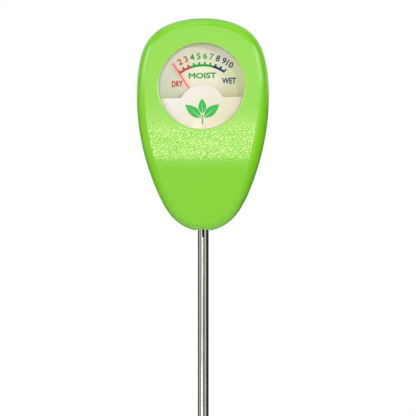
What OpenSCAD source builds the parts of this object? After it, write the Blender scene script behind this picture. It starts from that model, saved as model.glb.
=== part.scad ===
// Soil moisture meter: an egg-shaped plastic head with a round dial window, held up by a
// 5 mm probe. The probe is a galvanic pair, a plated sleeve and an aluminium tip, and it
// drives a core-magnet moving-coil movement whose pointer swings over the dial.
// Millimetres. +Z is up and the dial faces -Y. The origin is on the probe's axis, where the
// probe leaves the underside of the head. Every dial and movement piece turns about +Y.

/* [Head] */
// Height of the head
head_h = 97.3; // [95:0.1:103]
// Greatest width of the head
head_w = 60.6; // [59:0.1:66]
// Depth of the front shell, from the parting plane to the flat face
front_d = 13; // [12.5:0.1:15]
// Depth of the rear shell, from the parting plane to the back
rear_d = 12.7; // [12.6:0.1:14]
// Wall thickness of both shells
wall = 1.8; // [1.5:0.1:2.2]
// Height at which the flat face breaks and falls back towards the probe
crease_z = 32.3; // [28:0.1:34]
// Angle of the face below that break
crease_a = 13; // [8:0.5:13]

/* [Dial] */
// Height of the window's centre
window_z = 65.6; // [65:0.1:66.5]
// Radius of the opening in the front shell
window_r = 19.45; // [19:0.05:19.6]
// How far the pointer's pivot lies below the window's centre
pivot_drop = 9.8; // [9.5:0.1:10.3]
// Length of the pointer from its pivot
pointer_len = 24.4; // [22:0.1:25]
// Angle of the resting pointer, left of vertical
pointer_a = 33; // [30:0.1:34]
// Swing of the pointer from dry to wet
pointer_swing = 66; // [60:1:67]
// Seating error of the dial and its cover, anticlockwise
dial_turn = 1; // [0:0.25:1.5]

/* [Probe] */
// Outer radius of the probe
probe_r = 2.5; // [2.5:0.05:2.6]
// Length of the probe below the head
probe_len = 182; // [150:1:220]
// Width of the locating slot at the sleeve's top
slot_w = 0.8; // [0.6:0.1:1]

/* [Hidden] */
$fn = 48;
eps = 0.05; // clearance between pieces that only meet
pivot_z = window_z - pivot_drop;

// outline: an ellipse whose half-width is scaled by a quartic in height
egg = [0.2106, 0.112, 0.1151, 0.2634];
egg_scale = 0.9718;
ring_n = 96; // points round the outline
draft = 0.3; // how much the side walls lean in

// rounded edge band: arc radius and the angle at which it meets the face
front_band = [6.5, 69];
rear_band = [7.5, 80];
rear_slope_z = 42;
rear_slope_a = 9;

// how far either side of a break in a face its bend reaches
crease_ease = 3;
rear_ease = 8;

// dial stack, from the lens inwards (Y of each face)
face_in = -(front_d - wall * sin(front_band[1]));
lens_front = -front_d + 0.45;
cover_front = face_in + 0.83;
dial_front = cover_front + 4.1;
dial_t = 0.4;
frame_front = dial_front + dial_t;
frame_back = frame_front + 1.5;
chamber_r = 21.45;
chamfer = 0.75;     // round the window opening
arch_r = 10.7;      // arch of the dial cover, round the pivot
cover_edge = -4.95; // straight edge of the cover, below the window's centre
cutout_r = 10.2;    // hole in the dial plate, round the pivot

// movement
coil_y = 2.1;       // middle of the magnet, yoke and coil
gap_r = [4, 6.4];   // magnet's radius and yoke's bore
yoke_r = 8.6;
cup_r = [8.7, 10];
core_h = 6;
cup_back = coil_y + core_h / 2 + 1.4;
staff_r = 0.4;
bridge_y = [frame_front - 0.7, frame_front];
bar_y = [8.9, 9.9]; // rear bar of the movement frame
pointer_y = dial_front - 2;
screw_x = 11.4;     // bridge screws
dial_screw = [15.2, 1];
frame_screw = [17, -12];
spring_r = [0.78, 3.2];
spring_turns = 3.5;
stop_r = 9.8;

// head screws, as [x, z]
head_screws = [[-17, 87], [17, 87], [0, 21]];
screw_seat = 5.5;   // Y of the face under each head

// probe
groove = [2.25, 0.65, 2]; // radius, bottom and top of the retaining groove
mouth = [3.45, 0.7];      // radius and height of the recess round the probe
lip = [2.3, 1.85];        // bore and top of the land that enters the groove
sleeve_bore = 1.95;
sleeve_top = 12.6;
tip_len = 13;
insulator_len = 4;
sleeve_bottom = -probe_len + tip_len + insulator_len;
stem_top = sleeve_bottom + 8;
lead_r = 0.55;

// ---------- small helpers ----------

// a flat shape drawn in X and Z, given depth from y0 to y1
module plate(y0, y1) {
    translate([0, y1, 0]) rotate([90, 0, 0]) linear_extrude(y1 - y0) children();
}

// a flat shape drawn in Y and Z, given width w about X = 0
module strip(w) {
    translate([-w / 2, 0, 0]) rotate([90, 0, 90]) linear_extrude(w) children();
}

module ring(outer, inner) {
    difference() {
        circle(outer);
        circle(inner);
    }
}

module round_rect(w, h, r) {
    square([w, h - 2 * r], center = true);
    square([w - 2 * r, h], center = true);
    for (x = [-1, 1], y = [-1, 1]) translate([x * (w / 2 - r), y * (h / 2 - r)]) circle(r);
}

// puts its children at the pivot, turned as the resting pointer is
module at_pivot(turn = 0) {
    translate([0, 0, pivot_z]) rotate([0, turn, 0]) children();
}

// puts its children at the window's centre, with the dial's seating error
module at_window() {
    translate([0, 0, window_z]) rotate([0, -dial_turn, 0]) children();
}

// a tube swept along points, with sides flats
module cord_tube(points, r, sides = 8) {
    last = len(points) - 1;
    dir = [for (i = [0:last])
        let (d = points[min(i + 1, last)] - points[max(i - 1, 0)]) d / norm(d)];
    rings = [for (i = [0:last])
        let (side = cross(dir[i], [0, 1, 0.01]), u = side / norm(side), v = cross(dir[i], u))
        for (k = [0:sides - 1]) points[i] + r * (cos(360 * k / sides) * u + sin(360 * k / sides) * v)];
    polyhedron(rings, concat(
        [[for (k = [0:sides - 1]) k]],
        [for (i = [0:last - 1], k = [0:sides - 1]) let (a = i * sides, b = (k + 1) % sides)
            [a + k, a + sides + k, a + sides + b]],
        [for (i = [0:last - 1], k = [0:sides - 1]) let (a = i * sides, b = (k + 1) % sides)
            [a + k, a + sides + b, a + b]],
        [[for (k = [sides - 1:-1:0]) last * sides + k]]
    ));
}

// points on a smooth curve through a route (Catmull-Rom), step pieces to each stretch
function smooth(route, step = 5) = concat(
    [for (i = [0:len(route) - 2], s = [0:step - 1])
        let (a = route[max(i - 1, 0)], b = route[i], c = route[i + 1],
             d = route[min(i + 2, len(route) - 1)], t = s / step)
        0.5 * (2 * b + (c - a) * t + (2 * a - 5 * b + 4 * c - d) * t * t
            + (3 * b - a - 3 * c + d) * t * t * t)],
    [route[len(route) - 1]]);

// ---------- egg-shaped shells ----------

function outline(t) = let (u = cos(t)) [
    head_w / 2 * egg_scale * sin(t) * (1 + egg[0] * u + egg[1] * u^2 + egg[2] * u^3 + egg[3] * u^4),
    head_h / 2 * (1 + u)];
function outward(t) = let (d = outline(t + 0.5) - outline(t - 0.5)) [-d[1], d[0]] / norm(d);

// depth of each face at height z; eased turns a break into a bend that reaches c either side
function eased(over, c) = over < -c ? 0 : over > c ? over : (over + c)^2 / (4 * c);
function front_depth(z) = front_d - tan(crease_a) * eased(crease_z - z, crease_ease);
function rear_depth(z) = rear_d - tan(rear_slope_a) * eased(rear_slope_z - z, rear_ease);

// one ring of the shell: a point of the band's arc at angle a, moved in from the surface by skin
function band_ring(depth, band, a, skin) = [for (k = [0:ring_n - 1])
    let (t = 360 * k / ring_n, p = outline(t), n = outward(t),
         squeeze = min(1, depth(p[1]) / (band[0] + 0.4)), r = band[0] * squeeze,
         inset = draft + r - (r - skin) * cos(a), q = p - inset * n)
    [q[0], -(depth(q[1]) - r * sin(band[1]) + (r - skin) * sin(a)), q[1]]];
function parting_ring(inset) = [for (k = [0:ring_n - 1])
    let (t = 360 * k / ring_n, q = outline(t) - inset * outward(t)) [q[0], 0, q[1]]];

// flat strips between the left and right points of ring number j
function cap(j, flip) = [for (k = [0:ring_n / 2 - 1], half = [0, 1])
    let (a = j * ring_n + k, b = a + 1, c = j * ring_n + ring_n - 1 - k,
         d = j * ring_n + (ring_n - k) % ring_n, f = half ? [a, b, c] : [a, c, d])
    if (f[0] != f[1] && f[1] != f[2] && f[0] != f[2]) flip ? [f[2], f[1], f[0]] : f];
function bands(rings) = [for (j = [0:len(rings) - 2], k = [0:ring_n - 1], half = [0, 1])
    let (a = j * ring_n + k, b = j * ring_n + (k + 1) % ring_n) half
        ? [a, a + ring_n, b + ring_n] : [a, b + ring_n, b]];

module lofted(rings) {
    polyhedron([for (r = rings) each r],
        concat(cap(0, false), bands(rings), cap(len(rings) - 1, true)));
}

function skin_rings(depth, band, skin, steps) =
    [for (i = [0:steps]) band_ring(depth, band, band[1] * (1 - i / steps), skin)];

// half of the head: outer skin, parting face and inner skin in one closed surface
module half_shell(depth, band) {
    inner = skin_rings(depth, band, wall, 3);
    lofted(concat(skin_rings(depth, band, 0, 7), [parting_ring(0), parting_ring(wall)],
        [for (i = [3:-1:0]) inner[i]]));
}

// the space inside a half shell and half its wall, which trims what stands in the shell
module half_core(depth, band) {
    lofted(concat(skin_rings(depth, band, wall / 2, 3), [parting_ring(wall / 2)]));
}

// half-round seats for the probe sleeve, two ribs high
module saddles(y0, y1) {
    for (z = [3.2, 8]) translate([-7, y0, z]) cube([14, y1 - y0, 1.6]);
}

module probe_passage() {
    translate([0, 0, -1]) cylinder(r = mouth[0], h = mouth[1] + 1);
    translate([0, 0, -1]) cylinder(r = lip[0], h = 20);
    translate([0, 0, lip[1]]) cylinder(r = probe_r + eps, h = 20);
}

module front_shell() {
    boss_y = face_in - 0.4;
    color("#97E048") difference() {
        union() {
            half_shell(function(z) front_depth(z), front_band);
            intersection() {
                half_core(function(z) front_depth(z), front_band);
                union() {
                    for (s = head_screws) plate(-front_d, 0) translate(s) circle(2.8);
                    for (x = [-1, 1]) plate(boss_y, frame_front)
                        translate([x * frame_screw[0], pivot_z + frame_screw[1]]) circle(2.6);
                    plate(boss_y, frame_front) translate([0, window_z]) ring(22.9, chamber_r);
                    saddles(-front_d, 0);
                }
            }
        }
        plate(-front_d - 1, face_in + 0.5) translate([0, window_z]) circle(window_r);
        translate([0, -front_d + chamfer, window_z]) rotate([90, 0, 0])
            cylinder(r1 = window_r, r2 = window_r + chamfer + eps, h = chamfer + eps);
        for (s = head_screws) plate(-7.6, 1) translate(s) circle(1.25);
        for (x = [-1, 1]) plate(-10.7, 0)
            translate([x * frame_screw[0], pivot_z + frame_screw[1]]) circle(1);
        difference() {
            probe_passage();
            translate([-slot_w / 2 + eps, -4, 3.2]) cube([slot_w - 2 * eps, 4 - sleeve_bore, 1.6]);
        }
    }
}

// strip inside the side walls, from inset near to the tongue's inner face
module tongue(near) {
    polygon(concat(
        [for (t = [40:5:110]) outline(t) - near * outward(t)],
        [for (t = [110:-5:40]) outline(t) - (wall + 0.9) * outward(t)]));
}

module rear_shell() {
    color("#8FDA3E") difference() {
        union() {
            mirror([0, 1, 0]) half_shell(function(z) rear_depth(z), rear_band);
            intersection() {
                mirror([0, 1, 0]) half_core(function(z) rear_depth(z), rear_band);
                union() {
                    for (s = head_screws) plate(0, rear_d) translate(s) circle(3.9);
                    saddles(0, rear_d);
                }
            }
            for (s = [0, 1]) mirror([s, 0, 0]) {
                plate(-1.4, 0.3) tongue(wall + 0.1);
                plate(0.3, 1.8) tongue(wall - 0.5);
            }
        }
        for (s = head_screws) {
            plate(-1, screw_seat + 1) translate(s) circle(1.4);
            plate(screw_seat, rear_d + 1) translate(s) circle(2.6);
        }
        probe_passage();
    }
}

module cross_slot(size, depth) {
    for (a = [0, 90]) rotate([0, a, 0]) translate([-size / 2, -depth, -0.3]) cube([size, depth + 1, 0.6]);
}

module housing_screws() {
    color("#B9BCC0") for (s = head_screws) translate([s[0], 0, s[1]]) difference() {
        union() {
            plate(screw_seat, screw_seat + 1.6) circle(2.4);
            plate(-6.4, screw_seat) circle(1.2);
            translate([0, -6.4, 0]) rotate([90, 0, 0]) cylinder(r1 = 1.2, r2 = 0.3, h = 0.9);
        }
        translate([0, screw_seat + 1.6, 0]) cross_slot(2.6, 1);
    }
}

// ---------- window and dial ----------

module window_lens() {
    color("#EDF3F2", 0.3) translate([0, 0, window_z]) {
        plate(lens_front, face_in) circle(window_r - 0.1);
        plate(face_in, cover_front) circle(chamber_r - 0.15);
    }
}

module cover_face() {
    intersection() {
        circle(20.3);
        union() {
            translate([-22, -22]) square([44, 22 + cover_edge]);
            translate([0, -pivot_drop]) circle(arch_r);
        }
    }
}

module dial_cover() {
    color("#F3EFE0") at_window() {
        plate(cover_front, dial_front) ring(chamber_r - 0.15, window_r - 0.05);
        plate(cover_front, cover_front + 0.6) cover_face();
    }
}

module dial_plate() {
    color("#D6D2BC") at_window() plate(dial_front, frame_front) difference() {
        circle(chamber_r - 0.25);
        translate([0, -pivot_drop]) {
            circle(cutout_r);
            translate([-13.4, -6]) square([26.8, 9.5]);
            for (x = [-1, 1]) translate([x * dial_screw[0], dial_screw[1]]) circle(1);
        }
    }
}

module small_screw(y, head_r, head_h, shank_r, shank_y) {
    front = y - sign(shank_y - y) * head_h;
    difference() {
        union() {
            plate(min(y, front), max(y, front)) circle(head_r);
            plate(min(y, shank_y), max(y, shank_y)) circle(shank_r);
        }
        translate([-head_r - 1, front - 0.35, -0.2]) cube([2 * head_r + 2, 0.7, 0.4]);
    }
}

module dial_screws() {
    color("#C9A95A") for (x = [-1, 1]) translate([x * dial_screw[0], 0, pivot_z + dial_screw[1]])
        small_screw(dial_front, 1.3, 0.8, 0.65, frame_back - 0.2);
}

// ---------- fixed part of the movement ----------

module movement_frame() {
    arm = norm(frame_screw);
    color("#3A3D40") translate([0, 0, pivot_z]) difference() {
        union() {
            plate(frame_front, frame_back) {
                circle(13);
                translate([-17.5, -4.5]) square([35, 7]);
                for (x = [0, 1]) mirror([x, 0]) {
                    rotate(atan2(frame_screw[1], frame_screw[0])) translate([0, -3]) square([arm, 6]);
                    translate(frame_screw) circle(3);
                }
            }
            plate(frame_back, cup_back) circle(cup_r[1]);
            plate(cup_back, bar_y[1]) intersection() {
                ring(cup_r[1], 8);
                square([5, 30], center = true);
            }
            plate(bar_y[0], bar_y[1]) square([5, 18], center = true);
        }
        plate(frame_front - 1, coil_y + core_h / 2) circle(cup_r[0]);
        plate(frame_front - 1, cup_back) circle(7.8);
        plate(bar_y[0] - 1, bar_y[1] + 1) circle(1);
        for (x = [-1, 1]) plate(frame_front - 1, frame_back + 1) {
            translate([x * screw_x, 0]) circle(0.7);
            translate([x * dial_screw[0], dial_screw[1]]) circle(0.7);
            translate([x * frame_screw[0], frame_screw[1]]) circle(1.1);
        }
        for (a = [-1, 1]) plate(frame_front - 1, frame_front + 1)
            rotate(-a * stop_angle(a)) translate([0, stop_r]) circle(0.3 + eps);
    }
}

module frame_screws() {
    color("#B9BCC0") for (x = [-1, 1])
        translate([x * frame_screw[0], 0, pivot_z + frame_screw[1]])
            small_screw(frame_back, 1.9, 1.1, 0.95, -10.2);
}

module yoke_ring() {
    color("#8C8F92") translate([0, 0, pivot_z])
        plate(coil_y - core_h / 2, coil_y + core_h / 2) ring(yoke_r, gap_r[1]);
}

module core_magnet() {
    color("#55585C") translate([0, 0, pivot_z])
        plate(coil_y - core_h / 2, coil_y + core_h / 2) circle(gap_r[0]);
}

// arcs above and below the magnet, clear of the coil's swing
module magnet_spacers() {
    half = 8 * tan(32);
    color("#E8E6DC") translate([0, 0, pivot_z]) for (s = [0, 1])
        plate(coil_y - core_h / 2, coil_y + core_h / 2) mirror([0, s]) intersection() {
            ring(gap_r[1], gap_r[0]);
            polygon([[0, 0], [half, 8], [-half, 8]]);
        }
}

module front_bridge() {
    color("#D2AE57") translate([0, 0, pivot_z]) plate(bridge_y[0], bridge_y[1]) difference() {
        round_rect(25.4, 3.2, 1);
        circle(1);
        for (x = [-1, 1]) translate([x * screw_x, 0]) circle(0.75);
    }
}

module bridge_screws() {
    color("#C9CCD0") for (x = [-1, 1]) translate([x * screw_x, 0, pivot_z])
        small_screw(bridge_y[0], 1.2, 0.8, 0.65, frame_back + 0.6);
}

// a screw that carries a jewel in its inner end; inner is the Y of that end
module jewel_screw(inner, outer) {
    out = sign(outer - inner);
    difference() {
        plate(min(inner, outer), max(inner, outer)) circle(0.95);
        plate(min(inner - out, inner + out * 0.6), max(inner - out, inner + out * 0.6)) circle(0.62);
        translate([-2, outer - 0.4, -0.15]) cube([4, 0.8, 0.3]);
    }
}

module jewel(inner, out) {
    difference() {
        plate(min(inner, inner + out * 0.6), max(inner, inner + out * 0.6)) circle(0.6);
        translate([0, inner, 0]) rotate([-90 * out, 0, 0]) cylinder(r1 = 0.45, r2 = 0.02, h = 0.45);
    }
}

front_jewel_y = bridge_y[1] + 0.6;

module front_jewel_screw() {
    color("#D9B75F") at_pivot() jewel_screw(front_jewel_y, bridge_y[0] - 1);
}

module rear_jewel_screw() {
    color("#D9B75F") at_pivot() jewel_screw(bar_y[0], bar_y[1] + 0.6);
}

module front_jewel() {
    color("#C23A5A") at_pivot() jewel(front_jewel_y, -1);
}

module rear_jewel() {
    color("#C23A5A") at_pivot() jewel(bar_y[0], 1);
}

module front_lock_nut() {
    color("#D9B75F") at_pivot() plate(bridge_y[0] - 0.7, bridge_y[0]) difference() {
        circle(1.9, $fn = 6);
        circle(0.98);
    }
}

// lever under the bridge that carries the front hairspring's outer end and sets the zero
module zero_adjuster() {
    color("#D2AE57") at_pivot() {
        plate(bridge_y[1] + 0.08, bridge_y[1] + 0.42) difference() {
            union() {
                circle(2.1);
                translate([-0.6, -8]) square([1.2, 8]);
                translate([0, -0.35]) square([3.8, 0.7]);
            }
            circle(1.02);
            translate([-0.25, -9]) square([0.5, 3]);
        }
        plate(bridge_y[1] + 0.42, bridge_y[1] + 1.4) translate([3.3, -0.3]) square([0.5, 0.6]);
    }
}

module rear_spring_anchor() {
    color("#D2AE57") at_pivot() {
        plate(bar_y[0] - 0.3, bar_y[0]) difference() {
            union() {
                circle(2.1);
                translate([-0.7, -7.3]) square([1.4, 7.3]);
                translate([-3.8, -0.35]) square([3.8, 0.7]);
            }
            circle(1.05);
        }
        plate(bar_y[0] - 1.3, bar_y[0] - 0.3) translate([-3.8, -0.3]) square([0.5, 0.6]);
    }
}

// flat spiral with a collet at its middle; its outer end lies on +X
module hairspring() {
    points = round(24 * spring_turns);
    function at(i, off) = let (a = 360 * spring_turns * (i / points - 1),
        r = spring_r[0] + (spring_r[1] - spring_r[0]) * i / points + off) [r * cos(a), r * sin(a)];
    ring(spring_r[0] + 0.05, staff_r);
    polygon(concat([for (i = [0:points]) at(i, 0.07)], [for (i = [points:-1:0]) at(i, -0.07)]));
}

module front_hairspring() {
    color("#C98B4A") at_pivot() plate(bridge_y[1] + 0.95, bridge_y[1] + 1.35) hairspring();
}

module rear_hairspring() {
    color("#C98B4A") at_pivot() plate(bar_y[0] - 1.25, bar_y[0] - 0.85) rotate(180) hairspring();
}

// posts that end the pointer's swing, at the angle where its edge meets them
function stop_angle(side) =
    (side < 0 ? pointer_a : pointer_swing - pointer_a) + asin((0.4 + 0.3) / stop_r) + 0.3;

module stop_pins() {
    color("#C9CCD0") at_pivot() for (a = [-1, 1])
        plate(pointer_y - 0.45, frame_front + 0.9)
            rotate(-a * stop_angle(a)) translate([0, stop_r]) circle(0.3);
}

// ---------- moving coil and pointer ----------

coil_half = [5.6, 4.6]; // outer half-width and half-depth of the winding
former_half = [4.8, 3.9];

// a rectangular hoop about the magnet, open along the pointer's direction
module hoop(outer, inner, r, w) {
    translate([0, coil_y, -w / 2]) linear_extrude(w) difference() {
        round_rect(2 * outer[0], 2 * outer[1], r);
        round_rect(2 * inner[0], 2 * inner[1], max(r - 0.5, 0.2));
    }
}

module coil_former() {
    color("#C8CBCE") at_pivot(-pointer_a) hoop(former_half, former_half - [0.3, 0.3], 0.6, 2.4);
}

module coil_winding() {
    color("#B4622E") at_pivot(-pointer_a) translate([0, coil_y, -0.9]) linear_extrude(1.8)
        difference() {
            round_rect(2 * coil_half[0], 2 * coil_half[1], 1.2);
            round_rect(2 * former_half[0], 2 * former_half[1], 0.6);
        }
}

// disc glued to the coil's end, then the staff and its point; dir is -1 at the front
module pivot_staff(y, shoulder, tip, dir) {
    plate(min(y, y + dir * 0.5), max(y, y + dir * 0.5)) circle(1.5);
    plate(min(y, shoulder), max(y, shoulder)) circle(staff_r);
    translate([0, shoulder, 0]) rotate([-90 * dir, 0, 0])
        cylinder(r1 = staff_r, r2 = 0.08, h = abs(tip - shoulder));
}

coil_front = coil_y - coil_half[1];
coil_back = coil_y + coil_half[1];

module front_pivot() {
    color("#A8ACB0") at_pivot() pivot_staff(coil_front, front_jewel_y + 0.5, front_jewel_y - 0.3, -1);
}

module rear_pivot() {
    color("#A8ACB0") at_pivot() pivot_staff(coil_back, bar_y[0] - 0.5, bar_y[0] + 0.3, 1);
}

hub_y = coil_front - 0.9; // back of the pointer's hub

// a cranked arm: it leaves the hub behind the dial and steps forward through the cut-out
module pointer() {
    low = hub_y - 0.4;
    front = pointer_y - 0.15;
    color("#FF5A52") at_pivot(-pointer_a) {
        plate(hub_y - 0.7, hub_y) ring(1.15, staff_r);
        strip(0.8) polygon([
            [low + 0.3, 0.9], [low + 0.3, 5.1], [front + 0.3, 8.4], [front + 0.3, pointer_len],
            [front, pointer_len], [front, 8.25], [low, 4.95], [low, 0.9]]);
    }
}

tail_len = 6.6;
side_len = 4.6;

module balance_cross() {
    color("#C9CCD0") at_pivot(-pointer_a) plate(hub_y, hub_y + 0.3) difference() {
        union() {
            circle(1.1);
            translate([-0.35, -tail_len]) square([0.7, tail_len]);
            translate([-side_len, -0.3]) square([2 * side_len, 0.6]);
        }
        circle(staff_r);
    }
}

// a short tube threaded on an arm, which runs along Z
module arm_weight(r, l, arm_w) {
    translate([0, 0, -l / 2]) difference() {
        cylinder(r = r, h = l);
        translate([-arm_w / 2 - eps, -0.15 - eps, -1]) cube([arm_w + 2 * eps, 0.3 + 2 * eps, l + 2]);
    }
}

module balance_weights() {
    color("#B9BCC0") at_pivot(-pointer_a) translate([0, hub_y + 0.15, 0]) {
        translate([0, 0, -tail_len + 2.25]) arm_weight(0.9, 2.2, 0.7);
        for (x = [-1, 1]) translate([x * 3.7, 0, 0]) rotate([0, 90, 0]) arm_weight(0.62, 1.2, 0.6);
    }
}

// ---------- wiring ----------

lug_end = [15.6, frame_back + 0.3]; // X of the front joint and Y of the lug's face
anchor_joint = -6.5;                // Z of the rear joint, from the pivot

module front_lug() {
    color("#D2AE57") translate([0, 0, pivot_z]) plate(frame_back, frame_back + 0.3) difference() {
        union() {
            translate([screw_x, 0]) circle(1.3);
            translate([screw_x, -0.8]) square([5.2, 1.6]);
        }
        translate([screw_x, 0]) circle(0.7);
    }
}

module solder_joints() {
    color("#C4C7CA") {
        translate([0, 0, pivot_z]) {
            plate(lug_end[1], lug_end[1] + 1) translate([lug_end[0], 0]) circle(0.75);
            plate(bar_y[0] - 1.4, bar_y[0] - 0.3) translate([0, anchor_joint]) circle(0.65);
        }
        translate([3.9, 0.25, 14.1]) rotate([-90, 0, 0]) cylinder(r = 0.6, h = 1.1);
        translate([0, 0, stem_top]) cylinder(r = 1.1, h = 1.2);
    }
}

// each lead runs a little way into the solder at its ends
positive_route = [
    [3.9, 0.8, 14.3], [4.1, 0.8, 16], [6, 0.4, 20], [9.5, -0.4, 27], [14, -0.8, 35],
    [17.4, -1.5, 44], [16.8, -2.4, 50], [lug_end[0], lug_end[1] + 0.6, pivot_z - 2.2],
    [lug_end[0], lug_end[1] + 0.6, pivot_z - 0.4]];

negative_route = [
    [0, 0, stem_top + 0.8], [0, 0, -120], [0, 0, -80], [0, 0, -40], [0, 0, 0], [0, 0, 11.5],
    [-1.2, 0.4, 14.4], [-4, 1.4, 17.2], [-6.4, 2.4, 21.5], [-8.2, 3.6, 28], [-10.4, 5.2, 35],
    [-10.8, 6.8, 42], [-8, 7.9, 48], [-3.6, 8, pivot_z + anchor_joint],
    [-0.3, 8, pivot_z + anchor_joint]];

module positive_lead() {
    color("#B8322C") cord_tube(smooth(positive_route), lead_r);
}

module negative_lead() {
    color("#2B2D30") cord_tube(smooth(negative_route), lead_r);
}

module sleeve_clip() {
    color("#D2AE57") difference() {
        union() {
            translate([0, 0, 9.9]) cylinder(r = probe_r + 0.4, h = 2.4);
            translate([probe_r, -0.25, 9.9]) cube([1, 0.5, 2.4]);
            translate([probe_r + 0.6, -0.25, 9.9]) cube([1.5, 0.5, 5]);
        }
        translate([0, 0, 9]) cylinder(r = probe_r, h = 4);
        translate([-0.5, -4, 9]) cube([1, 4, 4]);
    }
}

// ---------- probe ----------

module probe_sleeve() {
    color("#C9CBC8") difference() {
        translate([0, 0, sleeve_bottom]) cylinder(r = probe_r, h = sleeve_top - sleeve_bottom);
        translate([0, 0, sleeve_bottom - 1]) cylinder(r = sleeve_bore, h = sleeve_top - sleeve_bottom + 2);
        translate([0, 0, groove[1]]) difference() {
            cylinder(r = probe_r + 1, h = groove[2] - groove[1]);
            cylinder(r = groove[0], h = groove[2] - groove[1]);
        }
        // locating slot, round at its lower end
        translate([-slot_w / 2, -probe_r - 1, -2.4]) cube([slot_w, probe_r + 1, 8]);
        translate([0, 0, -2.4]) rotate([90, 0, 0]) cylinder(r = slot_w / 2, h = probe_r + 1);
    }
}

module probe_insulator() {
    color("#2E3033") difference() {
        union() {
            translate([0, 0, sleeve_bottom - insulator_len]) cylinder(r = probe_r, h = insulator_len);
            translate([0, 0, sleeve_bottom]) cylinder(r = sleeve_bore - 0.03, h = 7);
        }
        translate([0, 0, sleeve_bottom - insulator_len - 1]) cylinder(r = 1, h = insulator_len + 10);
    }
}

module probe_tip() {
    neck = sleeve_bottom - insulator_len;
    color("#A9ABAD") {
        translate([0, 0, -probe_len]) rotate_extrude() polygon(concat(
            [[0, 0]], [for (a = [0:15:75]) [0.6 * sin(a), 0.6 - 0.6 * cos(a)]],
            [[probe_r, 8], [probe_r, tip_len], [0, tip_len]]));
        translate([0, 0, neck]) cylinder(r = 0.97, h = stem_top - neck);
    }
}

front_shell();
rear_shell();
housing_screws();
window_lens();
dial_cover();
dial_plate();
dial_screws();
movement_frame();
frame_screws();
yoke_ring();
core_magnet();
magnet_spacers();
front_bridge();
bridge_screws();
front_jewel_screw();
front_lock_nut();
front_jewel();
rear_jewel_screw();
rear_jewel();
zero_adjuster();
rear_spring_anchor();
front_hairspring();
rear_hairspring();
coil_former();
coil_winding();
front_pivot();
rear_pivot();
pointer();
balance_cross();
balance_weights();
stop_pins();
front_lug();
solder_joints();
negative_lead();
positive_lead();
sleeve_clip();
probe_sleeve();
probe_insulator();
probe_tip();
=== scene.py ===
"""The soil moisture meter's finished look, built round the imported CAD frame.

Sizes are in millimetres up to the point where they enter a mesh, which is in metres.
+Z is up, the dial faces -Y, and the probe leaves the head at the origin.
"""

from functools import partial
import math

import bmesh
import bpy
import numpy as np
from mathutils import Matrix, Vector

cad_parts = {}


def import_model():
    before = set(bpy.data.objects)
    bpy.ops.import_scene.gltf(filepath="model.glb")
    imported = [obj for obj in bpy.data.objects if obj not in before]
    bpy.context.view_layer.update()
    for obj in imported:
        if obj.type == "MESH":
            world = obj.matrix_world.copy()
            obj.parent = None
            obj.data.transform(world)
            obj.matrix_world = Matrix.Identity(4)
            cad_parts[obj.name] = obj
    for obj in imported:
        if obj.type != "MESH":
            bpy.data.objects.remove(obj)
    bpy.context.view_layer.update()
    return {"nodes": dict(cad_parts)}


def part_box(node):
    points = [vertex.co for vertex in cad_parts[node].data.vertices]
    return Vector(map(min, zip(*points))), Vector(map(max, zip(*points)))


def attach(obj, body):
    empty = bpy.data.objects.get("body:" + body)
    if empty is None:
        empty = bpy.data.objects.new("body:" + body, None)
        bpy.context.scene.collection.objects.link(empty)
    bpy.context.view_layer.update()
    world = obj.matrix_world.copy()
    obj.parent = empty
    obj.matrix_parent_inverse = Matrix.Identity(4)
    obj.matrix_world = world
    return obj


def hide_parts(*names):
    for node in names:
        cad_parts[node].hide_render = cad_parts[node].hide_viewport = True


MM = 0.001
SAME_POINT = 1e-4  # millimetres

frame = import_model()
nodes = frame["nodes"]

# ---------------------------------------------------------------- places, from the frame


def box_mm(node):
    """The lowest and highest corners of a node's box, in millimetres."""
    low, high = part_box(node)
    return low / MM, high / MM


FRONT_D = -box_mm("front_shell")[0].y
REAR_D = box_mm("rear_shell")[1].y
HEAD_H = box_mm("rear_shell")[1].z
LENS_LOW, LENS_HIGH = box_mm("window_lens")
COVER_LOW, COVER_HIGH = box_mm("dial_cover")
PLATE_LOW, PLATE_HIGH = box_mm("dial_plate")
SLEEVE_LOW, SLEEVE_HIGH = box_mm("probe_sleeve")
INSULATOR_LOW, INSULATOR_HIGH = box_mm("probe_insulator")
TIP_LOW, TIP_HIGH = box_mm("probe_tip")
WINDOW_Z = (LENS_LOW.z + LENS_HIGH.z) / 2
FLANGE_R = LENS_HIGH.x
PIVOT_Z = sum(corner.z for corner in box_mm("core_magnet")) / 2
PIVOT_DROP = WINDOW_Z - PIVOT_Z

# sizes that the boxes don't give exactly: the egg's width, the window opening's radius, the lens
# flange's thickness, the walls' thickness, and the small turn with which the dial is seated
HEAD_W = 60.6
WINDOW_R = 19.45
FLANGE_T = 0.83
WALL = 1.8
DIAL_TURN = math.radians(1)

# Y of the front face's inner side, which the lens's flange meets
FACE_IN = COVER_LOW.y - FLANGE_T

# ---------------------------------------------------------------- mesh helpers


def linked(name, data):
    """A new object of the scene, made of that data."""
    made = bpy.data.objects.new(name, data)
    bpy.context.scene.collection.objects.link(made)
    return made


def piece_from_mesh(name, mesh, material, body="housing", smooth_angle=35):
    """A piece that rides on a body, shaded smooth except across sharp edges."""
    mesh.name = name
    mesh.materials.clear()
    mesh.materials.append(material)
    mesh.shade_smooth()
    mesh.set_sharp_from_angle(angle=math.radians(smooth_angle))
    piece = linked(name, mesh)
    normals = piece.modifiers.new("weighted_normals", "WEIGHTED_NORMAL")
    normals.keep_sharp = True
    normals.weight = 100
    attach(piece, body)
    return piece


def mesh_from(points, faces):
    """A clean mesh with outward faces, from points in millimetres."""
    mesh = bpy.data.meshes.new("mesh")
    mesh.from_pydata([tuple(p) for p in np.asarray(points, float) * MM], [], faces)
    work = bmesh.new()
    work.from_mesh(mesh)
    bmesh.ops.recalc_face_normals(work, faces=work.faces)
    work.to_mesh(mesh)
    work.free()
    return mesh


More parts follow.
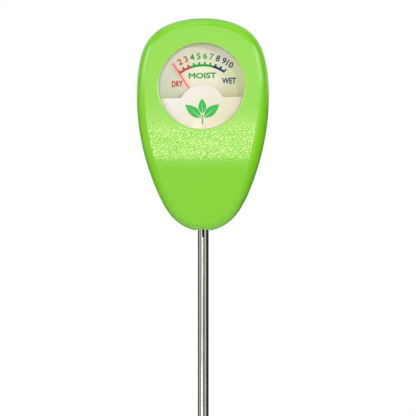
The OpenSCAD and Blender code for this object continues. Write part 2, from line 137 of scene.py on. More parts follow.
def bevel_loop(mesh, loop, offset):
    """Rounds a closed loop of edges, given as a list of vertex numbers."""
    work = bmesh.new()
    work.from_mesh(mesh)
    work.verts.ensure_lookup_table()
    corners = [work.verts[number] for number in loop]
    edges = [work.edges.get(pair) for pair in zip(corners, corners[1:] + corners[:1])]
    bmesh.ops.bevel(work, geom=edges, offset=offset * MM, segments=3, profile=0.5,
                    affect="EDGES", clamp_overlap=True)
    work.to_mesh(mesh)
    work.free()


def evaluated_mesh(scratch):
    """The mesh that an object comes to with its modifiers; the object itself is removed."""
    bpy.context.view_layer.update()
    graph = bpy.context.evaluated_depsgraph_get()
    mesh = bpy.data.meshes.new_from_object(scratch.evaluated_get(graph), depsgraph=graph)
    bpy.data.objects.remove(scratch)
    return mesh


def combined(mesh, operation, tools):
    """The mesh with closed tool meshes taken out of it (DIFFERENCE) or joined to it (UNION)."""
    scratch = linked("scratch", mesh)
    helpers = [linked("helper", tool) for tool in tools]
    for helper in helpers:
        modifier = scratch.modifiers.new("combine", "BOOLEAN")
        modifier.operation = operation
        modifier.solver = "EXACT"
        modifier.object = helper
    result = evaluated_mesh(scratch)
    for helper in helpers:
        bpy.data.objects.remove(helper)
    return result


def lathe(profile, segments=128, along="Z", centre=(0, 0, 0), closed=False):
    """A solid of revolution. profile holds (radius, height) pairs; a closed one makes a ring."""
    points, rows = [], []
    for radius, height in profile:
        count = 1 if radius < SAME_POINT else segments
        rows.append(range(len(points), len(points) + count))
        for k in range(count):
            a = 2 * math.pi * k / segments
            x, y = radius * math.cos(a), radius * math.sin(a)
            at = (x, y, height) if along == "Z" else (x, height, y)
            points.append([c + d for c, d in zip(centre, at)])
    faces = []
    pairs = list(zip(rows, rows[1:] + rows[:1] if closed else rows[1:]))
    for low, high in pairs:
        for k in range(segments):
            a, b = low[k % len(low)], low[(k + 1) % len(low)]
            c, d = high[(k + 1) % len(high)], high[k % len(high)]
            face = list(dict.fromkeys((a, b, c, d)))
            if len(face) > 2:
                faces.append(face)
    return mesh_from(points, faces)


def rounded(profile, radii, steps=4):
    """The closed profile with each corner rounded to its radius, 0 for a corner that stays."""
    out = []
    for i, (corner, radius) in enumerate(zip(profile, radii)):
        corner = Vector(corner)
        if not radius:
            out.append(tuple(corner))
            continue
        before = (Vector(profile[i - 1]) - corner).normalized()
        after = (Vector(profile[(i + 1) % len(profile)]) - corner).normalized()
        half = before.angle(after) / 2
        reach = radius / math.tan(half)
        start, end = corner + before * reach, corner + after * reach
        for k in range(steps + 1):
            t = k / steps
            out.append(tuple(start * (1 - t) ** 2 + corner * 2 * t * (1 - t) + end * t * t))
    return out


def arc(centre, radius, start, end, steps):
    """Points on an arc; angles run from +Z towards +X, in degrees."""
    return [(centre[0] + radius * math.sin(math.radians(a)),
             centre[1] + radius * math.cos(math.radians(a)))
            for a in np.linspace(start, end, steps + 1)]


def flat_mesh(loops, front, back, bevel=0.0):
    """A plate whose outline and holes are loops of (x, z), from Y = front to Y = back."""
    curve = bpy.data.curves.new("plate", "CURVE")
    curve.dimensions = "2D"
    curve.fill_mode = "BOTH"
    curve.extrude = (back - front) / 2 - bevel
    curve.bevel_depth = bevel
    curve.bevel_resolution = 2
    curve.offset = -bevel
    for loop in loops:
        spline = curve.splines.new("POLY")
        spline.points.add(len(loop) - 1)
        for point, (x, z) in zip(spline.points, loop):
            point.co = (x, z, 0, 1)
        spline.use_cyclic_u = True
    return solid_from_curve(curve, front, back)


def solid_from_curve(curve, front, back):
    """The closed mesh of a flat curve or text in millimetres, stood up to face -Y."""
    mesh = evaluated_mesh(linked("scratch", curve))
    work = bmesh.new()
    work.from_mesh(mesh)
    bmesh.ops.remove_doubles(work, verts=work.verts, dist=SAME_POINT)
    bmesh.ops.recalc_face_normals(work, faces=work.faces)
    work.to_mesh(mesh)
    work.free()
    mesh.transform(Matrix.Rotation(math.pi / 2, 4, "X"))
    mesh.transform(Matrix.Translation((0, (front + back) / 2, 0)))
    mesh.transform(Matrix.Scale(MM, 4))
    return mesh


def joined(meshes):
    """One mesh made of several."""
    work = bmesh.new()
    for mesh in meshes:
        work.from_mesh(mesh)
    result = bpy.data.meshes.new("joined")
    work.to_mesh(result)
    work.free()
    return result


def dial_turned(mesh):
    """The mesh turned about the window's centre by the dial's small seating error."""
    centre = Matrix.Translation((0, 0, WINDOW_Z * MM))
    mesh.transform(centre @ Matrix.Rotation(-DIAL_TURN, 4, "Y") @ centre.inverted())
    return mesh


# ---------------------------------------------------------------- materials


def feed(tree, socket, value):
    """Links another node's output to an input socket, or sets a plain value on it."""
    if isinstance(value, bpy.types.NodeSocket):
        tree.links.new(value, socket)
    else:
        socket.default_value = value


def add_node(tree, kind, inputs=(), **settings):
    """A shader node whose inputs are plain values or other nodes' outputs."""
    made = tree.nodes.new("ShaderNode" + kind)
    for key, value in settings.items():
        setattr(made, key, value)
    for key, value in dict(inputs).items():
        feed(tree, made.inputs[key], value)
    return made


class Look:
    """A procedural material, with short calls for the nodes that every finish here uses."""

    def __init__(self, name, color, roughness=0.5, metallic=0.0, **constants):
        self.material = bpy.data.materials.new(name)
        self.material.use_nodes = True
        self.tree = self.material.node_tree
        self.shader = self.tree.nodes["Principled BSDF"]
        self.set("Base Color", (*color, 1))
        self.set("Roughness", roughness)
        self.set("Metallic", metallic)
        for key, value in constants.items():
            self.set(key.replace("_", " "), value)
        self.coordinates = self.tree.nodes.new("ShaderNodeTexCoord").outputs["Object"]

    def set(self, name, value):
        feed(self.tree, self.shader.inputs[name], value)

    def node(self, kind, inputs=(), **settings):
        return add_node(self.tree, kind, inputs, **settings)

    def place(self):
        """X, Y and Z of the point being shaded, in metres."""
        return self.node("SeparateXYZ", {"Vector": self.coordinates}).outputs

    def noise(self, size, detail=3.0, stretch=None):
        """Noise whose features are about size millimetres across; stretch squeezes each axis."""
        where = self.coordinates
        if stretch:
            where = self.node("Mapping", {"Vector": where, "Scale": stretch}).outputs[0]
        inputs = {"Vector": where, "Scale": 1 / (size * MM), "Detail": detail}
        return self.node("TexNoise", inputs).outputs["Fac"]

    def ranged(self, value, low, high, start=0.3, end=0.7):
        """low to high as value goes from start to end, which by default are a noise's usual ends."""
        inputs = {"Value": value, "From Min": start, "From Max": end, "To Min": low, "To Max": high}
        return self.node("MapRange", inputs).outputs[0]

    def math(self, operation, a, b):
        return self.node("Math", {0: a, 1: b}, operation=operation).outputs[0]

    def mixed(self, factor, a, b):
        """From colour a to colour b; each is (red, green, blue) or a node's output."""
        a, b = [(*c, 1) if isinstance(c, tuple) else c for c in (a, b)]
        return self.node("Mix", {0: factor, 6: a, 7: b}, data_type="RGBA").outputs[2]

    def vary_color(self, factor, a, b):
        self.set("Base Color", self.mixed(factor, a, b))

    def bump(self, height, distance, strength=1.0):
        """Relief of distance millimetres."""
        inputs = {"Height": height, "Distance": distance * MM, "Strength": strength}
        self.set("Normal", self.node("Bump", inputs).outputs[0])


def shade(color, factor):
    """The colour, that many times as bright."""
    return tuple(min(1.0, c * factor) for c in color)


def plastic(name, color, roughness, grain=0.6, relief=0.004, spread=0.06):
    """Moulded plastic: faint flow mottling and a fine skin."""
    look = Look(name, color, roughness)
    mottling = look.noise(7.0)
    look.vary_color(mottling, shade(color, 1 - spread), shade(color, 1 + spread))
    skin = look.noise(grain)
    look.set("Roughness", look.ranged(skin, roughness * 0.85, roughness * 1.15))
    look.bump(skin, relief)
    return look.material


def metal(name, color, roughness, lines=(1, 1, 1), size=0.25, relief=0.002, spread=0.12):
    """Metal with fine tool or draw lines; lines squeezes the pattern along each axis."""
    look = Look(name, color, roughness, 1.0)
    marks = look.noise(size, 4, lines)
    tarnish = look.noise(4.0)
    look.vary_color(tarnish, shade(color, 1 - spread), color)
    look.set("Roughness", look.ranged(marks, roughness * 0.7, roughness * 1.35))
    look.bump(marks, relief)
    return look.material


def insulation(name, color):
    """Soft wire covering, slightly uneven."""
    return plastic(name, color, 0.38, grain=0.3, relief=0.003, spread=0.1)


GREEN = (0.190, 0.628, 0.010)
FACE_GREEN = (0.183, 0.596, 0.010)
# painted sparkle: the grain's peaks are painted lighter and its hollows darker, to stand in for
# glints
GRAIN_PAINTED_SHADE, GRAIN_PAINTED_SPARKLE = (0.138, 0.565, 0.010), (0.232, 0.645, 0.034)
# the window's rounded lip is painted pale, as a highlight
LIP_PAINTED_HIGHLIGHT = (0.34, 0.70, 0.13)
GREEN_ROUGHNESS = 0.23  # where it is smooth
GRAIN_SIZE = 0.65  # millimetres
GRAIN_RELIEF = 0.16  # millimetres
WAVE_SHARE = 0.25  # the smooth edge's slight waves, as a share of that relief
FACE_STARTS = 0.06  # grain at which the face's green has taken over from the edge's


def green_plastic():
    """Glossy on the rounded edge. Where grain is 1 it sparkles from bump, with a painted sparkle of
    light and dark specks. Where lip is 1 it carries a painted pale highlight.
    """
    look = Look("green_plastic", GREEN, 0.3, Specular_IOR_Level=0.75)
    grain = look.node("Attribute", attribute_name="grain").outputs["Fac"]
    mottling = look.noise(9.0, 4)
    edge = look.mixed(mottling, shade(GREEN, 0.97), shade(GREEN, 1.03))
    base = look.mixed(look.ranged(grain, 0, 1, 0, FACE_STARTS), edge, FACE_GREEN)
    sparked = look.noise(GRAIN_SIZE, 1.0)
    # the grain is real bump; its light and dark tones are a painted sparkle
    painted_sparkle = look.mixed(look.ranged(sparked, 0, 1, 0.38, 0.62), GRAIN_PAINTED_SHADE, GRAIN_PAINTED_SPARKLE)
    face = look.mixed(grain, base, painted_sparkle)
    # painted highlight: the lip round the window is painted pale green
    lip = look.node("Attribute", attribute_name="lip").outputs["Fac"]
    look.vary_color(lip, face, LIP_PAINTED_HIGHLIGHT)
    waves = look.math("MULTIPLY", look.noise(2.5, 2.0), WAVE_SHARE)
    height = look.node("Mix", {0: grain, 2: waves, 3: sparked}, data_type="FLOAT").outputs[0]
    look.bump(height, GRAIN_RELIEF)
    # the plastic is matt where the texture is half strong, as towards the top of the face
    matt = look.math("MULTIPLY", grain, look.math("SUBTRACT", 1, grain))
    look.set("Roughness", look.math("ADD", GREEN_ROUGHNESS, matt))
    return look.material


def clear_lens():
    """Thin clear acrylic: see-through, with a faint reflection that grows at the rim."""
    look = Look("clear_lens", (1, 1, 1), 0.04)
    haze = look.noise(3.0, 2)
    clear = look.node("BsdfTransparent", {"Color": (0.985, 0.99, 0.985, 1)})
    polish = look.ranged(haze, 0.03, 0.07)
    gloss = look.node("BsdfGlossy", {"Color": (1, 1, 1, 1), "Roughness": polish})
    fresnel = look.node("Fresnel", {"IOR": 1.35})
    outer = look.math("SUBTRACT", 1, look.node("NewGeometry").outputs["Backfacing"])
    shine = look.math("MULTIPLY", fresnel.outputs[0], outer)
    mix = look.node("MixShader", {0: shine, 1: clear.outputs[0], 2: gloss.outputs[0]})
    look.tree.nodes.remove(look.shader)
    feed(look.tree, look.tree.nodes["Material Output"].inputs["Surface"], mix.outputs[0])
    return look.material


# the dial's colours carry painted light and shade: lighter at the left and top, darker and yellower
# at the right and foot, with a painted sheen at the middle; the specks are the print's own
DIAL_LEFT_PAINTED_LIGHT, DIAL_RIGHT_PAINTED_SHADE = (0.69, 0.75, 0.65), (0.645, 0.73, 0.435)
DIAL_FOOT_PAINTED_SHADE, DIAL_TOP_PAINTED_LIGHT = (0.45, 0.52, 0.33), (0.74, 0.80, 0.65)
DIAL_MIDDLE_PAINTED_SHEEN, DIAL_SPECK = (0.88, 0.88, 0.76), (0.52, 0.52, 0.40)


def printed_dial():
    """Satin print with a screen grain, and painted light and shade: a painted sheen at the middle,
    painted light at the top, and painted shade at the foot and to the right, which is also yellower.
    """
    look = Look("dial_print", (0.70, 0.69, 0.52), 0.6)

    def height(above):
        """A height in metres, from millimetres above the window's centre."""
        return (WINDOW_Z + above) * MM

    x, _, z = look.place()
    # painted shade: darker and yellower from left to right
    across = look.ranged(x, 0, 1, -17 * MM, 17 * MM)
    painted_shading = look.mixed(across, DIAL_LEFT_PAINTED_LIGHT, DIAL_RIGHT_PAINTED_SHADE)
    # painted shade towards the foot
    down = look.ranged(z, 1, 0, height(-6), height(6))
    painted_shading = look.mixed(look.math("MULTIPLY", down, 0.4), painted_shading, DIAL_FOOT_PAINTED_SHADE)
    # painted light towards the top, where the window's wall shades the dial
    up = look.ranged(z, 0, 1, height(6), height(18))
    painted_shading = look.mixed(up, painted_shading, DIAL_TOP_PAINTED_LIGHT)
    # painted sheen: paler round a point just above the window's centre
    centre = (0, PLATE_LOW.y * MM, height(1.5))
    from_centre = look.node("VectorMath", {0: look.coordinates, 1: centre},
                            operation="DISTANCE").outputs["Value"]
    fade = {"Value": from_centre, "From Min": 3 * MM, "From Max": 14 * MM, "To Min": 1, "To Max": 0}
    painted_sheen = look.node("MapRange", fade, interpolation_type="SMOOTHSTEP").outputs[0]
    plain = look.mixed(painted_sheen, painted_shading, DIAL_MIDDLE_PAINTED_SHEEN)
    speck = look.noise(0.8)
    look.vary_color(look.ranged(speck, 0, 0.16), plain, DIAL_SPECK)
    look.bump(look.noise(0.4, 2), 0.004)
    return look.material


def cream_plastic():
    """Moulded cream cover with painted shade: whiter at the upper left, creamier and darker towards
    the lower right.
    """
    white, shaded_cream = (0.73, 0.76, 0.74), (0.635, 0.64, 0.45)
    look = Look("cream_plastic", (0.86, 0.83, 0.74), 0.42)
    x, _, z = look.place()
    painted_shade_slant = look.math("SUBTRACT", x, z)
    # painted shade, from 8 mm to the upper left of the window's centre to 28 mm to its lower right
    blend = look.ranged(painted_shade_slant, 0, 1, -(WINDOW_Z + 8) * MM, (28 - WINDOW_Z) * MM)
    mottling = look.ranged(look.noise(6.0), -0.06, 0.06)
    look.vary_color(look.math("ADD", blend, mottling), white, shaded_cream)
    skin = look.noise(0.6)
    look.set("Roughness", look.ranged(skin, 0.36, 0.48))
    look.bump(skin, 0.002)
    return look.material


INK_SPECULAR = 0.12  # the specular level of printed ink
LEAF_LOW, LEAF_HIGH = (0.004, 0.40, 0.045), (0.020, 0.52, 0.085)


def ink(name, color):
    """Screen-printed ink with slightly uneven cover."""
    look = Look(name, color, 0.5, Specular_IOR_Level=INK_SPECULAR)
    cover = look.noise(0.7)
    look.vary_color(look.ranged(cover, 0, 1), shade(color, 0.85), shade(color, 1.2))
    look.bump(look.noise(0.3, 2), 0.003)
    return look.material


def leaf_ink(bottom, top):
    """Green ink that lightens from the emblem's bottom to its top."""
    look = Look("leaf_ink", LEAF_LOW, 0.5, Specular_IOR_Level=INK_SPECULAR)
    blend = look.ranged(look.place()[2], 0, 1, bottom * MM, top * MM)
    cover = look.ranged(look.noise(0.8), -0.08, 0.08)
    look.vary_color(look.math("ADD", blend, cover), LEAF_LOW, LEAF_HIGH)
    look.bump(look.noise(0.3, 2), 0.003)
    return look.material


def plated_tube():
    """Bright nickel plate with lengthwise draw lines and a few dull patches."""
    color = (0.80, 0.785, 0.71)
    look = Look("plated_steel", color, 0.12, 1.0)
    draw = look.noise(0.16, 3, (1, 1, 0.02))
    patches = look.noise(3.0, 3, (1, 1, 0.25))
    look.vary_color(look.ranged(patches, 0, 1), shade(color, 0.93), color)
    dullness = look.ranged(patches, 0, 0.05)
    look.set("Roughness", look.math("ADD", look.ranged(draw, 0.07, 0.15), dullness))
    look.bump(draw, 0.0015)
    return look.material


green = green_plastic()
steel = metal("screw_steel", (0.60, 0.60, 0.585), 0.28, size=0.3)
brass = metal("brass", (0.76, 0.55, 0.23), 0.25, size=0.3)
bronze = metal("bronze", (0.70, 0.40, 0.18), 0.3, size=0.3)
copper = metal("copper", (0.72, 0.25, 0.09), 0.3, (1, 8, 1), 0.5, relief=0.03)
aluminium = metal("aluminium", (0.66, 0.67, 0.68), 0.32, (1, 1, 0.2), 0.3)
black_plastic = plastic("black_plastic", (0.035, 0.037, 0.04), 0.42)
cream = cream_plastic()
nylon = plastic("white_nylon", (0.80, 0.79, 0.72), 0.45)
magnet = metal("magnet", (0.16, 0.16, 0.17), 0.45, size=0.5, relief=0.006)
soft_iron = metal("soft_iron", (0.36, 0.37, 0.38), 0.35, (1, 6, 1), 0.5)
ruby = plastic("ruby", (0.45, 0.03, 0.08), 0.08, relief=0.001)
solder = metal("solder", (0.62, 0.62, 0.63), 0.22, size=0.8, relief=0.02)
red_wire = insulation("red_insulation", (0.45, 0.03, 0.02))
black_wire = insulation("black_insulation", (0.02, 0.02, 0.022))
pointer_paint = plastic("pointer_paint", (0.92, 0.080, 0.065), 0.4, relief=0.002, spread=0.04)

# ---------------------------------------------------------------- the egg-shaped head

# the outline is an ellipse whose half-width is scaled by a quartic in height
EGG = (0.2106, 0.112, 0.1151, 0.2634)
EGG_SCALE = 0.9718
AROUND = 320  # points round the outline

# the side walls lean in by DRAFT, and each shell stops SEAM_GAP short of the parting plane
DRAFT = 0.3
SEAM_GAP = 0.02
SEAM_EASE = [(0.26, SEAM_GAP), (0.07, 0.12), (0.015, 0.3)]  # inset and Y of the groove's rings

# where each face breaks inwards, its slope below that, and how far either side the bend reaches
CREASE_Z, CREASE_SLOPE, CREASE_EASE = 32.3, math.tan(math.radians(13)), 3
REAR_SLOPE_Z, REAR_SLOPE, REAR_EASE = 42, math.tan(math.radians(9)), 8

# the rounded edge: its arc's radius, and the angle at which it meets the face
FRONT_BAND = (6.5, math.radians(69))
REAR_BAND = (7.5, math.radians(80))
BAND_MARGIN = 0.4  # the arc shrinks where the shell is less deep than its radius and this
BAND_STEPS = 22


def outline(t):
    """Points (x, z) on the head's outline; t is 0 at the top."""
    u = np.cos(t)
    grow = 1 + EGG[0] * u + EGG[1] * u ** 2 + EGG[2] * u ** 3 + EGG[3] * u ** 4
    return np.column_stack([HEAD_W / 2 * EGG_SCALE * np.sin(t) * grow, HEAD_H / 2 * (1 + u)])


NUDGE = 0.01  # radians either side, for the outline's direction
TURNS = np.arange(AROUND) * 2 * math.pi / AROUND
EDGE = outline(TURNS)
ALONG = outline(TURNS + NUDGE) - outline(TURNS - NUDGE)
OUTWARD = np.column_stack([-ALONG[:, 1], ALONG[:, 0]]) / np.linalg.norm(ALONG, axis=1)[:, None]


def eased(over, reach):
    """0 below -reach, over above reach, and a smooth bend between."""
    bend = (over + reach) ** 2 / (4 * reach)
    return np.where(over < -reach, 0, np.where(over > reach, over, bend))


def front_depth(z):
    """How far the front face stands from the parting plane at that height."""
    return FRONT_D - CREASE_SLOPE * eased(CREASE_Z - z, CREASE_EASE)


def rear_depth(z):
    """The same for the rear face."""
    return REAR_D - REAR_SLOPE * eased(REAR_SLOPE_Z - z, REAR_EASE)


def band_ring(depth, band, angle, skin=0.0):
    """One ring of the rounded edge, at that angle of its arc, skin millimetres inside it."""
    radius = band[0] * np.minimum(1, depth(EDGE[:, 1]) / (band[0] + BAND_MARGIN))
    inset = DRAFT + radius - (radius - skin) * math.cos(angle)
    at = EDGE - inset[:, None] * OUTWARD
    y = depth(at[:, 1]) - radius * math.sin(band[1]) + (radius - skin) * math.sin(angle)
    return np.column_stack([at[:, 0], y, at[:, 1]])


def parting_ring(inset, y):
    """The outline moved in by inset, at that distance from the parting plane."""
    at = EDGE - inset * OUTWARD
    return np.column_stack([at[:, 0], np.full(AROUND, y), at[:, 1]])


def between(a, b, steps):
    """Rings from a towards b, without either end."""
    return [a + (b - a) * k / steps for k in range(1, steps)]


def circle_ring(towards, centre_z, radius, y):
    """A circle whose points lie on the rays from its centre to another ring's points."""
    rays = towards[:, [0, 2]] - (0, centre_z)
    rays = rays / np.linalg.norm(rays, axis=1)[:, None] * radius
    return np.column_stack([rays[:, 0], np.full(AROUND, y), rays[:, 1] + centre_z])


def face_rings(depth, outer, inner, steps, sink=0.0):
    """Rings across a face between two others, laid on that depth less sink."""
    rings = between(outer, inner, steps)
    for ring in rings:
        ring[:, 1] = depth(ring[:, 2]) - sink
    return rings


def outer_rings(depth, band):
    """From the seam's groove, up the side and round the band."""
    start = band_ring(depth, band, 0)
    seam = [parting_ring(inset, y) for inset, y in SEAM_EASE]
    side = between(seam[-1], start, steps=5)
    edge = [band_ring(depth, band, band[1] * k / BAND_STEPS) for k in range(BAND_STEPS + 1)]
    return seam + side + edge


def inner_rings(depth, band, steps):
    """Back down the inside, from the face to the parting plane."""
    skin = [band_ring(depth, band, band[1] * (1 - k / steps), WALL) for k in range(steps + 1)]
    return skin + [parting_ring(WALL, SEAM_GAP)]


def ring_faces(count, closed):
    """Faces that join each ring to the next, and the last to the first if closed."""
    faces = []
    for j in range(count if closed else count - 1):
        a, b = j * AROUND, (j + 1) % count * AROUND
        for k in range(AROUND):
            n = (k + 1) % AROUND
            faces.append((a + k, a + n, b + n, b + k))
    return faces


def ring_loop(number):
    """The vertex numbers of one ring."""
    return list(range(number * AROUND, (number + 1) * AROUND))


LIP = 0.75  # rounding of the window opening's edge

# how strong the faces' texture and its painted sparkle are, by height: full just above the crease,
# where the key light's highlight falls
GRAIN_HEIGHTS, GRAIN_SHARES = (28, 33, 46, 66), (0.07, 1.0, 1.0, 0.4)
# it starts GRAIN_OVERLAP onto the rounded edge, and grows to full over GRAIN_FADE
GRAIN_OVERLAP, GRAIN_FADE = 0.1, 0.3
FACE_SKIN = 0.6  # a point within this of the face's surface counts as on it
LIP_MARGIN = 0.02


def mark(mesh, name, values):
    """Stores one value for each vertex, for a material to read."""
    attribute = mesh.attributes.new(name, "FLOAT", "POINT")
    attribute.data.foreach_set("value", values.astype(np.float32))


def mark_grain(mesh, depth, side, band):
    """Grain is 1 on the spark-eroded face and 0 on the glossy edge; lip is 1 round the window, where
    a pale highlight is painted.
    """
    points = np.array([v.co for v in mesh.vertices]) / MM
    flat = points[:, [0, 2]]
    inset = np.min(np.linalg.norm(flat[:, None, :] - EDGE[None, :, :], axis=2), axis=1)
    limit = DRAFT + band[0] * (1 - math.cos(band[1]))
    on_face = side * points[:, 1] > depth(points[:, 2]) - FACE_SKIN
    value = np.clip((inset - limit + GRAIN_OVERLAP) / GRAIN_FADE, 0, 1) * on_face
    value *= np.interp(flat[:, 1], GRAIN_HEIGHTS, GRAIN_SHARES)
    from_window = np.linalg.norm(flat - (0, WINDOW_Z), axis=1)
    lip = on_face * (side < 0) * (from_window < WINDOW_R + LIP - LIP_MARGIN)
    mark(mesh, "grain", value * (1 - lip))
    mark(mesh, "lip", lip)


# the probe's way in: a recess, a land that enters the sleeve's groove, and a passage
MOUTH_R, MOUTH_FOOT, MOUTH_TOP = 3.45, -3, 0.7
LAND_R, LAND_TOP = 2.3, 1.85
PASSAGE_R, PASSAGE_TOP = 2.55, 14.0


def mouth_tool():
    """What the probe's way into the head takes out of both shells."""
    profile = [(0, MOUTH_FOOT), (MOUTH_R, MOUTH_FOOT), (MOUTH_R, MOUTH_TOP), (LAND_R, MOUTH_TOP),
               (LAND_R, LAND_TOP), (PASSAGE_R, LAND_TOP), (PASSAGE_R, PASSAGE_TOP), (0, PASSAGE_TOP)]
    return lathe(profile, 64)


# the wall round the lens: its bore, a clearance outside the flange, and its outside
CHAMBER_R = FLANGE_R + 0.15
RIM_R = 22.9
CREASE_ROUND = 0.3  # bevel where the band meets the front face


def front_shell():
    """Outer skin, window opening, the lens's chamber wall and inner skin, in one closed loop."""
    rings = outer_rings(front_depth, FRONT_BAND)
    band_end = len(rings) - 1
    edge = rings[-1]
    lip = circle_ring(edge, WINDOW_Z, WINDOW_R + LIP, FRONT_D)
    rings += face_rings(front_depth, edge, lip, steps=76)
    back = PLATE_HIGH.y
    opening = [(WINDOW_R + LIP * (1 - math.sin(a)), FRONT_D - LIP * (1 - math.cos(a)))
               for a in np.linspace(0, math.pi / 2, 9)]
    opening += [(WINDOW_R, -FACE_IN), (CHAMBER_R, -FACE_IN), (CHAMBER_R, -back), (RIM_R, -back),
                (RIM_R, -FACE_IN)]
    rings += [circle_ring(edge, WINDOW_Z, radius, y) for radius, y in opening]
    inside = inner_rings(front_depth, FRONT_BAND, steps=8)
    sink = WALL * math.sin(FRONT_BAND[1])
    rings += face_rings(front_depth, rings[-1], inside[0], steps=24, sink=sink)
    rings += inside
    points = np.concatenate(rings) * (1, -1, 1)
    mesh = mesh_from(points, ring_faces(len(rings), True))
    bevel_loop(mesh, ring_loop(band_end), CREASE_ROUND)
    mesh = combined(mesh, "DIFFERENCE", [mouth_tool()])
    mark_grain(mesh, front_depth, -1, FRONT_BAND)
    return mesh


BACK_CENTRE_Z, BACK_CENTRE_R = 60.0, 0.6  # the small disc that the rear face's rings close on
SCREW_AXES = [(-17, 87), (17, 87), (0, 21)]  # (x, z)
SCREW_HOLE_R = 1.4
WELL_R, WELL_FLOOR = 2.6, 5.5
WELL_EASE = 0.5  # how much wider the eased mouth gets
EASE_BELOW, EASE_ABOVE = 0.35, 0.15  # where the easing starts and ends, from the rear face
BOSS_R, BOSS_FOOT = 3.9, 0.05


def well_tool(x, z):
    """A screw's counterbore with an eased mouth, and its clearance hole."""
    surface = min(REAR_D, float(rear_depth(z)))
    wide = WELL_R + WELL_EASE
    inside, outside = -2, 20
    profile = [(0, inside), (SCREW_HOLE_R, inside), (SCREW_HOLE_R, WELL_FLOOR), (WELL_R, WELL_FLOOR),
               (WELL_R, surface - EASE_BELOW), (wide, surface + EASE_ABOVE), (wide, outside),
               (0, outside)]
    return lathe(profile, 64, "Y", (x, 0, z))


def boss(x, z):
    """The pillar on the inside that a screw goes through."""
    end = REAR_D - WALL
    profile = [(0, BOSS_FOOT), (BOSS_R, BOSS_FOOT), (BOSS_R, end), (0, end)]
    return lathe(profile, 48, "Y", (x, 0, z))


def rear_shell():
    """Outer skin with a plain face, screw wells and inner skin."""
    rings = outer_rings(rear_depth, REAR_BAND)
    edge = rings[-1]
    middle = circle_ring(edge, BACK_CENTRE_Z, BACK_CENTRE_R, REAR_D)
    outside = rings + face_rings(rear_depth, edge, middle, steps=60) + [middle]
    inside = inner_rings(rear_depth, REAR_BAND, steps=10)
    sink = WALL * math.sin(REAR_BAND[1])
    inner_middle = circle_ring(edge, BACK_CENTRE_Z, BACK_CENTRE_R, REAR_D - sink)
    inner_face = face_rings(rear_depth, inside[0], inner_middle, steps=24, sink=sink)
    rings = [inner_middle] + list(reversed(inner_face)) + inside + outside
    faces = ring_faces(len(rings), False)
    faces += [tuple(ring_loop(0)), tuple(ring_loop(len(rings) - 1))]
    mesh = mesh_from(np.concatenate(rings), faces)
    mesh = combined(mesh, "UNION", [boss(x, z) for x, z in SCREW_AXES])
    wells = [well_tool(x, z) for x, z in SCREW_AXES]
    mesh = combined(mesh, "DIFFERENCE", wells + [mouth_tool()])
    mark_grain(mesh, rear_depth, 1, REAR_BAND)
    return mesh


shell = piece_from_mesh("front_shell_skin", front_shell(), green, smooth_angle=40)
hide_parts("front_shell")
shell = piece_from_mesh("rear_shell_skin", rear_shell(), green, smooth_angle=40)
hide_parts("rear_shell")

# ---------------------------------------------------------------- window and dial

LENS_GAP = 0.1  # round the lens, inside the opening


def lens():
    """A clear disc with polished edges and a flange behind the opening."""
    radius = WINDOW_R - LENS_GAP
    profile = [(0, LENS_LOW.y), (radius, LENS_LOW.y), (radius, FACE_IN), (FLANGE_R, FACE_IN),
               (FLANGE_R, LENS_HIGH.y), (0, LENS_HIGH.y)]
    rims = [0, 0.25, 0.05, 0.1, 0.15, 0]
    return lathe(rounded(profile, rims), 160, "Y", (0, 0, WINDOW_Z))


piece = piece_from_mesh("window_lens_clear", lens(), clear_lens())
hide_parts("window_lens")

# the cover's straight edge below the window's centre, its thickness, and its arch's radius
COVER_EDGE = -4.95
COVER_T = 0.6
ARCH_R = 10.7
COVER_BEVEL = 0.14  # round the edge of its face
COVER_FACE = COVER_LOW.y + 0.005  # Y of its face, a hair behind the front of its ring
RING_IN = WINDOW_R - 0.05
RING_OVERLAP = 0.4  # how far the face runs into the ring
RING_ROUND = 0.12
PIVOT = (0, -PIVOT_DROP)


def lifted(loops):
    """Loops given from the window's centre, in the head's own Z."""
    return [[(x, z + WINDOW_Z) for x, z in loop] for loop in loops]


def cover_outline():
    """Round below, straight across, with an arch over the pivot."""
    radius = RING_IN + RING_OVERLAP
    side = math.degrees(math.acos(COVER_EDGE / radius))
    arch_half = math.degrees(math.acos((COVER_EDGE + PIVOT_DROP) / ARCH_R))
    return (arc((0, 0), radius, side, 360 - side, 96)
            + arc(PIVOT, ARCH_R, -arch_half, arch_half, 48))


def dial_cover():
    """The cream cover's ring and face."""
    section = [(RING_IN, COVER_LOW.y), (FLANGE_R, COVER_LOW.y), (FLANGE_R, COVER_HIGH.y),
               (RING_IN, COVER_HIGH.y)]
    ring = rounded(section, [RING_ROUND, RING_ROUND, 0, 0])
    wall = lathe(ring, 160, "Y", (0, 0, WINDOW_Z), closed=True)
    face = flat_mesh(lifted([cover_outline()]), COVER_FACE, COVER_LOW.y + COVER_T, COVER_BEVEL)
    return dial_turned(joined([wall, face]))


piece = piece_from_mesh("dial_cover_face", dial_cover(), cream)
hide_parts("dial_cover")

dial_face = printed_dial()

# the printed scale: its centre, from the window's, and angles in degrees clockwise from the top
INK_T = 0.03
SCALE_CENTRE = (0, -7.2)
BAND_R = (16.85, 17.93)
TICK_R, TICK_W = 18.9, 0.9
FIRST_TICK, TICK_STEP = -35.8, 7.95
DIGIT_R, DIGIT_H = 21.64, 2.92
TICKS = [FIRST_TICK + TICK_STEP * i for i in range(10)]
SCALE_START, SCALE_END = -36.5, 36.3
MOIST_START, MOIST_END = -16.85, 16.85
TEN_W = 3.1  # the two figures of 10 are squeezed to this
STROKE, WORD_STROKE = 0.024, 0.036  # how much figures and words are fattened, in font units


